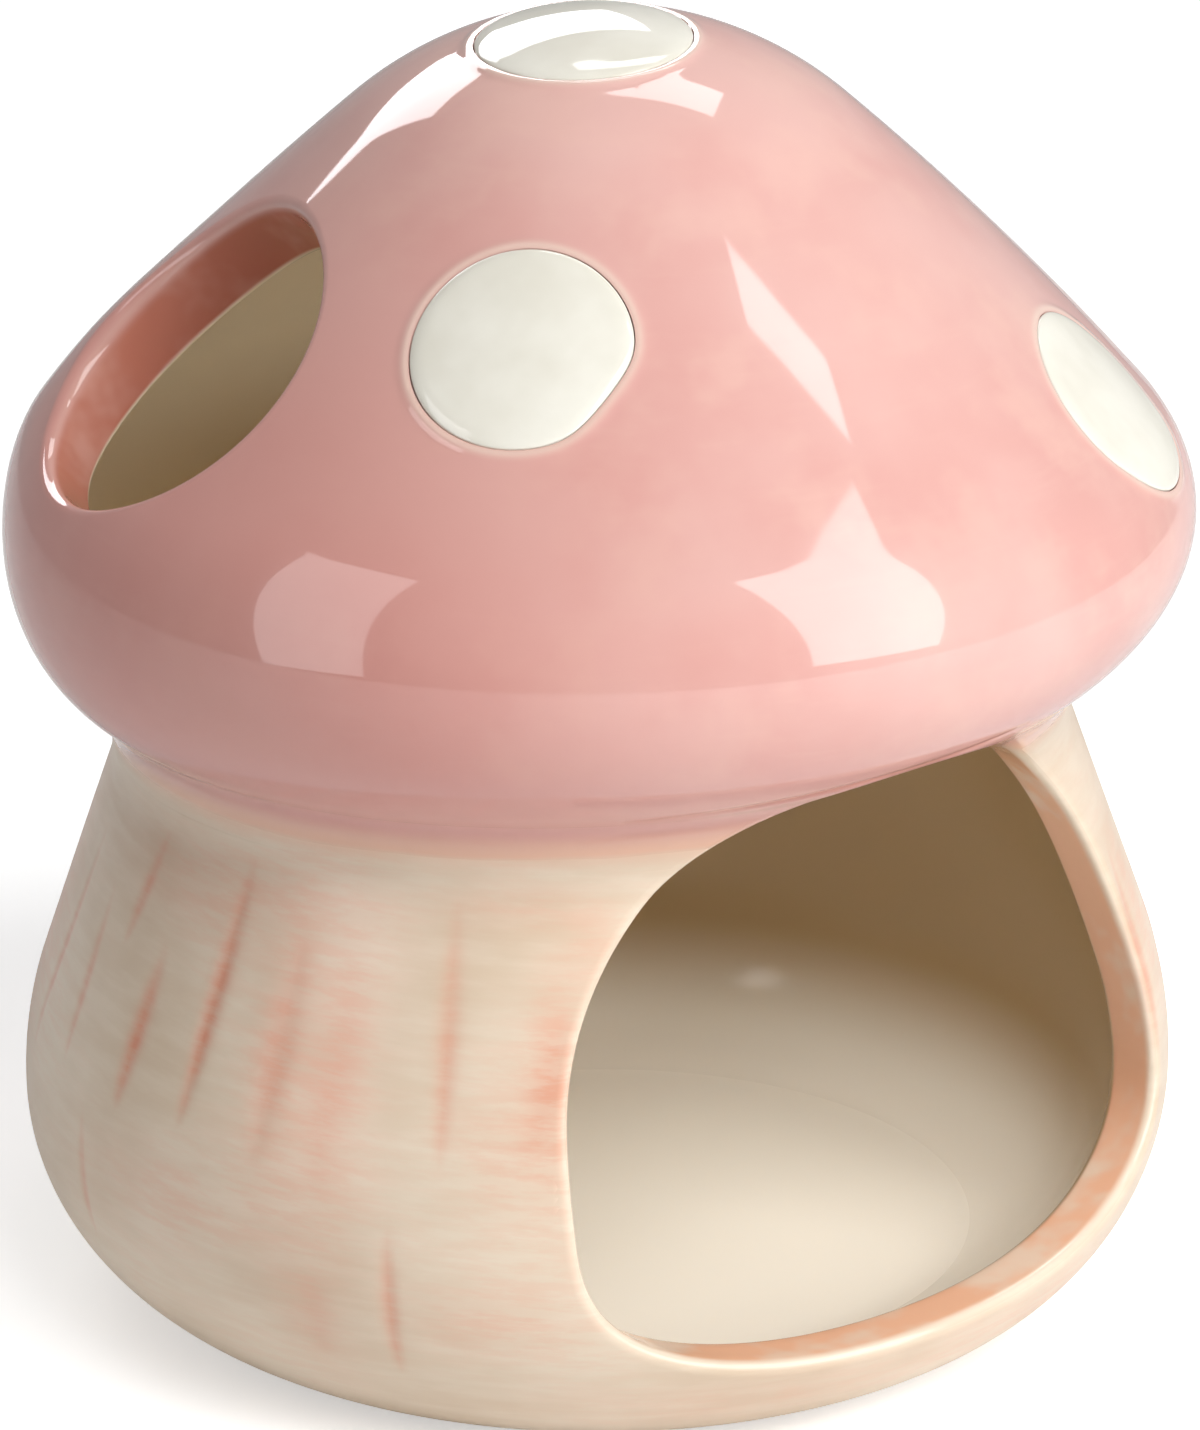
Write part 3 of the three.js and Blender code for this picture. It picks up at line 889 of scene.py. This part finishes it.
def glaze(name, paint):
    """A glaze. The paint function gives its colour and its satin share from the place on the pot."""
    material = bpy.data.materials.new(name)
    material.use_nodes = True
    finish = Finish(material.node_tree)
    shader = material.node_tree.nodes["Principled BSDF"]
    shader.inputs["Roughness"].default_value = GLOSSY
    shader.inputs["IOR"].default_value = GLAZE_IOR
    place = finish.node("TexCoord", output="Object")
    colour, satin = paint(finish, place)
    material.node_tree.links.new(colour.socket, shader.inputs["Base Color"])
    if satin:
        roughness = satin * (SATIN - GLOSSY) + GLOSSY
        material.node_tree.links.new(roughness.socket, shader.inputs["Roughness"])
    uneven = finish.noise(place, 55.0, 1.0) + finish.noise(place, 400.0, 1.0) * 0.03
    bump = finish.node("Bump", {"Height": uneven, "Strength": 1.0, "Distance": UNEVENNESS})
    material.node_tree.links.new(bump.socket, shader.inputs["Normal"])
    return material


# Roughness of glossy and of satin glaze, and the share of satin inside
GLOSSY = 0.05
SATIN = 0.34
SATIN_INSIDE = 0.3
GLAZE_IOR = 1.5
UNEVENNESS = 0.02 * MM

# Colours of the glazes
PINK = srgb(222, 179, 171)
PINK_THICK = srgb(215, 164, 156)
PINK_THIN = srgb(226, 185, 173)
# Darker pink for the -X side of the cap, as painted shade
PINK_SHADED_SIDE = srgb(200, 134, 124)
# Mauve for under the rim, as painted shade
MAUVE = srgb(210, 158, 154)
PEACH = srgb(226, 182, 158)
PEACH_THIN = srgb(240, 212, 188)
PEACH_BRIGHT = srgb(242, 188, 154)
CREAM = srgb(225, 208, 186)
CREAM_THICK = srgb(213, 192, 167)
CREAM_LIGHT = srgb(238, 227, 209)
WASH = srgb(226, 172, 146)
TERRACOTTA = srgb(216, 134, 104)
# Brick and pale brick: the window's cut wall and the crease, darkened as painted shade
BRICK = srgb(192, 120, 102)
BRICK_PALE = srgb(208, 150, 136)
# Glaze inside: darker on the walls as painted shade, lighter on the floor and high in the cap as painted
# light
BISCUIT = srgb(190, 164, 126)
BISCUIT_HIGH = srgb(248, 238, 212)
BISCUIT_LIT_FLOOR = srgb(248, 241, 226)
WHITE = srgb(234, 231, 220)
WHITE_SHADE = srgb(222, 218, 205)


class Brushwork:
    """The patterns and places that the painted glaze goes by."""

    def __init__(self, finish, place):
        self.finish = finish
        parts = finish.node("SeparateXYZ", {0: place})
        self.x, y, self.z = (Value(finish, parts.socket.node.outputs[i]) for i in range(3))
        rising, _ = across(TILT_AZIMUTH)
        self.height = self.z - (self.x * float(rising[0]) + y * float(rising[1])) * NECK_TILT
        self.brushed = finish.noise(place, 70.0, 4.0, 0.6, (1, 1, 7))
        self.clouds = finish.noise(place, 38.0, 3.0)
        self.patches = finish.noise(place, 90.0, 3.0, 0.6)
        self.fine = finish.noise(place, 700.0, 2.0)
        self.bristles = finish.noise(place, 150.0, 4.0, 0.65, (1, 1, 6)).smooth(0.38, 0.64)

        # The wavy height that the pink glaze runs down to
        self.line = self.height + (self.brushed - 0.5) * (0.6 * MM) + (self.clouds - 0.5) * (1.0 * MM)
        self.above = self.line.smooth(63.9 * MM, 64.7 * MM)

    def pink(self):
        """Pink, thinner in places, darker on the -X side as painted shade, mauve below the rim as painted
        shade, and peach where it ends.
        """
        finish, line = self.finish, self.line
        pink = finish.mixed(self.clouds.smooth(0.3, 0.7), PINK_THICK, PINK)
        thin = self.patches.smooth(0.45, 0.75) * 0.5 + self.brushed.smooth(0.5, 0.8) * 0.2
        pink = finish.mixed(thin, pink, PINK_THIN)
        # Darker pink towards -X: painted shade on that side of the cap
        pink = finish.mixed(self.x.smooth(-52 * MM, -12 * MM) * -0.6 + 0.6, pink, PINK_SHADED_SIDE)
        # Pale line on the lips round the discs: thinner glaze on the raised lips and a painted highlight
        pink = finish.mixed(finish.attribute("lip") * 0.4, pink, CREAM_LIGHT)
        # Mauve below the rim: painted shade on the underside of the cap's overhang
        pink = finish.mixed(line.smooth(66 * MM, 78 * MM), MAUVE, pink)
        # Brick along the crease above the door: painted shade in the groove
        pink = finish.mixed(finish.attribute("crease") * 0.5, pink, BRICK)
        return finish.mixed(line.smooth(64.3 * MM, 68.0 * MM), PEACH, pink)

    def cream(self):
        """Cream, brushed level round the stem, with washes and scored strokes, and a darker band under the
        pink that is partly painted shade.
        """
        finish = self.finish
        cream = finish.mixed(self.clouds.smooth(0.35, 0.65), CREAM_THICK, CREAM)
        cream = finish.mixed(self.brushed.smooth(0.35, 0.75) * 0.3, cream, CREAM_LIGHT)
        cream = finish.mixed(self.bristles * self.clouds.smooth(0.4, 0.7) * 0.22, cream, WASH)
        grain = 0.25 + self.patches * 0.7 + self.bristles * 0.6
        wash = (finish.attribute("wash") * grain).clamped()
        cream = finish.mixed(wash, cream, WASH)
        rubbed = 0.3 + grain * 0.5 + self.fine * 0.25
        stroke = (finish.attribute("stroke") * rubbed).clamped()
        cream = finish.mixed(stroke, cream, TERRACOTTA)
        # Darker peach band in the neck hollow just under the pink: the pink's soft edge and painted shade
        # under the cap
        return finish.mixed(self.line.smooth(62.3 * MM, 64.2 * MM) * 0.35, cream, WASH)

    def reveal(self):
        """The cut wall: peach round the door, and round the window thinner pink glaze painted a darker
        brick as painted shade.
        """
        finish = self.finish
        peach = finish.mixed(self.patches.smooth(0.34, 0.54), PEACH_THIN, PEACH_BRIGHT)
        # Brick in the window: the cut wall's thinner pink glaze, darkened with painted shade
        brick = finish.mixed(self.patches.smooth(0.45, 0.7), BRICK, BRICK_PALE)
        return finish.mixed(self.height.smooth(70 * MM, 74 * MM), peach, brick)

    def hollow(self):
        """Plain glaze inside: a pale floor as painted light, darker walls as painted shade, and pale again
        high in the cap as painted light.
        """
        finish = self.finish
        # Lighter floor: painted light. Darker walls: painted shade
        hollow = finish.mixed(self.z.smooth(8 * MM, 19 * MM), BISCUIT_LIT_FLOOR, BISCUIT)
        # Lighter high in the cap: painted light
        return finish.mixed(self.z.smooth(72 * MM, 92 * MM), hollow, BISCUIT_HIGH)


def painted(finish, place):
    """Pink cap, cream stem with washed strokes, pale edges with a painted highlight, and glaze inside with
    painted light and shade.
    """
    brushwork = Brushwork(finish, place)
    depth, cavity = finish.attribute("inside"), finish.attribute("cavity")
    colour = finish.mixed(brushwork.above, brushwork.cream(), brushwork.pink())
    colour = finish.mixed(depth.smooth(0.12, 0.32), colour, brushwork.reveal())
    # Pale cream on the door's edges and pale pink on the window's: thinner glaze where it breaks over the
    # rounded edge, and a painted highlight
    rim = finish.mixed(brushwork.height.smooth(64 * MM, 68 * MM), CREAM_LIGHT, PINK_THIN)
    colour = finish.mixed(finish.attribute("edge") ** 3.0 * 0.45, colour, rim)
    colour = finish.mixed(cavity.smooth(0.2, 0.8), colour, brushwork.hollow())

    # Satin where the cream glaze is thin, a little of it inside, and glossy on the pink and on the edges
    satin = (1.0 - brushwork.above) * (1.0 - depth.smooth(0.02, 0.12))
    return colour, satin + cavity * SATIN_INSIDE


def white(finish, place):
    """White with the faintest clouds, glossy all over."""
    clouds = finish.noise(place, 90.0, 3.0)
    specks = finish.noise(place, 900.0, 1.0)
    share = clouds.smooth(0.3, 0.7) * (0.8 + specks * 0.2)
    return finish.mixed(share, WHITE_SHADE, WHITE), None


PAINTED_GLAZE = glaze("painted_glaze", painted)
WHITE_GLAZE = glaze("spot_glaze", white)


# The pieces

door_tool, window_tool = opening_tools()
pockets = [pocket_tool(name, view) for name, view in DISCS]
cap = turned_cap()
stem = turned_stem()
coil = turned_coil()
made_shell(cap, [door_tool, window_tool, *pockets], near_details, 3)
made_shell(stem, [door_tool], near_strokes, 1)
made_shell(coil, [door_tool], None, 1)
for tool in (door_tool, window_tool, *pockets):
    bpy.data.objects.remove(tool)
for name, view in DISCS:
    piece = disc(name, view)
    place_points(piece, settled(points_of(piece)))
    smooth(piece)
    finished(piece, WHITE_GLAZE)
    seated(piece, "white_glaze", name)
for piece, slot, node in ((cap, "pink_glaze", "cap_shell"), (stem, "cream_glaze", "stem_shell"),
                          (coil, "blush_glaze", "neck_slip_coil")):
    finished(piece, PAINTED_GLAZE)
    seated(piece, slot, node)


# Studio

FLOOR_RADIUS = 620 * MM
PAPER_WHITE = (0.92, 0.92, 0.92, 1)
PAPER_ROUGHNESS = 0.9
PAPER_SHEEN = 0.1

# Glow of the paper in all light, and its lift where the camera sees it
PAPER_GLOW = 0.04
PAPER_LIFT = 0.45

# Lights
AIM = Vector((0, 0, 90 * MM))
LIGHT_DISTANCE = 1.0
FILL_SIZE = 28
NEUTRAL = (1.0, 1.0, 1.0)
LAMP_PLACE = (34 * MM, 4 * MM, 100 * MM)
LAMP_SIZE = 40 * MM
LAMP_SPREAD = math.radians(75)
LAMP_POWER = 0.0078

# Light from the backdrop: dim all round and paler behind the pot
DIM_LIGHT = 0.02
WALL_LIGHT = 0.4
WALL_AZIMUTH = 165


def paper():
    """White paper that looks as bright as the backdrop."""
    material = bpy.data.materials.new("paper")
    material.use_nodes = True
    finish = Finish(material.node_tree)
    shader = material.node_tree.nodes["Principled BSDF"]
    shader.inputs["Base Color"].default_value = PAPER_WHITE
    shader.inputs["Roughness"].default_value = PAPER_ROUGHNESS
    shader.inputs["Specular IOR Level"].default_value = PAPER_SHEEN
    shader.inputs["Emission Color"].default_value = (*NEUTRAL, 1)
    seen = finish.node("LightPath", output="Is Camera Ray")
    glow = seen * PAPER_LIFT + PAPER_GLOW
    material.node_tree.links.new(glow.socket, shader.inputs["Emission Strength"])
    return material


def floor():
    """A round sheet of paper under the pot."""
    bpy.ops.object.select_all(action="DESELECT")
    bpy.ops.mesh.primitive_circle_add(vertices=96, radius=FLOOR_RADIUS, fill_type="NGON")
    made = bpy.context.object
    made.name = "studio_floor"
    made.data.materials.append(paper())


def direction(azimuth, elevation):
    """Unit vector towards an azimuth and an elevation, in degrees."""
    a, e = math.radians(azimuth), math.radians(elevation)
    return Vector((math.sin(a) * math.cos(e), -math.cos(a) * math.cos(e), math.sin(e)))


def softbox(name, azimuth, elevation, width, height, radiance, colour, roll=0.0, diffuse=True):
    """A rectangular light that faces the pot. Its width and height are angles seen from the pot."""
    way = direction(azimuth, elevation)
    bpy.ops.object.light_add(type="AREA", location=AIM + way * LIGHT_DISTANCE)
    lamp = bpy.context.object
    lamp.name = name
    turn = way.to_track_quat("Z", "Y")
    lamp.rotation_euler = turn.to_euler()
    lamp.rotation_euler.rotate_axis("Z", math.radians(roll))
    light = lamp.data
    light.shape = "RECTANGLE"
    light.size = 2 * LIGHT_DISTANCE * math.tan(math.radians(width / 2))
    light.size_y = 2 * LIGHT_DISTANCE * math.tan(math.radians(height / 2))
    light.energy = radiance * math.pi * light.size * light.size_y
    light.color = colour
    lamp.visible_diffuse = diffuse
    return lamp


def fill(name, azimuth, elevation, radiance):
    """A square softbox that leaves no highlight."""
    lamp = softbox(name, azimuth, elevation, FILL_SIZE, FILL_SIZE, radiance, NEUTRAL)
    lamp.visible_glossy = False


def hollow_lamp():
    """A small soft lamp hung in the hollow, which lights its floor."""
    bpy.ops.object.light_add(type="AREA", location=LAMP_PLACE)
    lamp = bpy.context.object
    lamp.name = "hollow_lamp"
    lamp.data.size = LAMP_SIZE
    lamp.data.spread = LAMP_SPREAD
    lamp.data.energy = LAMP_POWER
    lamp.visible_camera = lamp.visible_glossy = False


floor()
softbox("key", 16, 26.3, 28.5, 57, 5.4, NEUTRAL, -4.5)
softbox("side", -93.2, 21, 23, 57.5, 2.8, (1.0, 0.98, 0.99), 6.7, diffuse=False)
softbox("rear", 161.4, 31.8, 42.7, 19.6, 7.0, (0.98, 0.97, 1.0), 13.5, diffuse=False)
softbox("top", 124.8, 60.5, 26.9, 12.5, 5.5, NEUTRAL, 20.1, diffuse=False)
softbox("streak", 44.2, 57.8, 4.5, 12, 6.5, NEUTRAL, 21.2, diffuse=False)
fill("front_fill", -11, 47, 5.1)
fill("left_fill", -35, 42, 1.9)
fill("window_fill", -102, 22, 0.7)
fill("right_fill", 90, 42, 1.2)
fill("back_fill", 175, 42, 1.6)
hollow_lamp()


def studio_world():
    """White as the camera sees it, and for the light dim with a paler wall behind the pot."""
    world = bpy.data.worlds.new("studio")
    world.use_nodes = True
    finish = Finish(world.node_tree)
    way = finish.node("TexCoord", output="Generated")
    sockets = {0: way, 1: direction(WALL_AZIMUTH, 0)}
    wall = finish.node("VectorMath", sockets, operation="DOT_PRODUCT", output="Value")
    light = DIM_LIGHT + wall.smooth(0.1, 0.7) * WALL_LIGHT
    seen = finish.node("LightPath", output="Is Camera Ray")
    strength = light + seen * (1.0 - light)
    background = world.node_tree.nodes["Background"]
    background.inputs["Color"].default_value = (1, 1, 1, 1)
    world.node_tree.links.new(strength.socket, background.inputs["Strength"])
    bpy.context.scene.world = world


studio_world()

CAMERA_AZIMUTH, CAMERA_ELEVATION = -37, 20
CAMERA_DISTANCE = 729.6 * MM
CAMERA_AIM = Vector((0, 0, 60.8 * MM))
CAMERA_LENS = 180.35
CAMERA_SENSOR = 36
CAMERA_NEAR = 50 * MM


def camera():
    """The camera at the photograph's place."""
    bpy.ops.object.camera_add()
    made = bpy.context.object
    back = direction(CAMERA_AZIMUTH, CAMERA_ELEVATION)
    made.location = CAMERA_AIM + back * CAMERA_DISTANCE
    made.rotation_euler = back.to_track_quat("Z", "Y").to_euler()
    made.data.lens = CAMERA_LENS
    made.data.sensor_width = CAMERA_SENSOR
    made.data.clip_start = CAMERA_NEAR
    bpy.context.scene.camera = made


camera()
bpy.context.scene.view_settings.view_transform = "Standard"
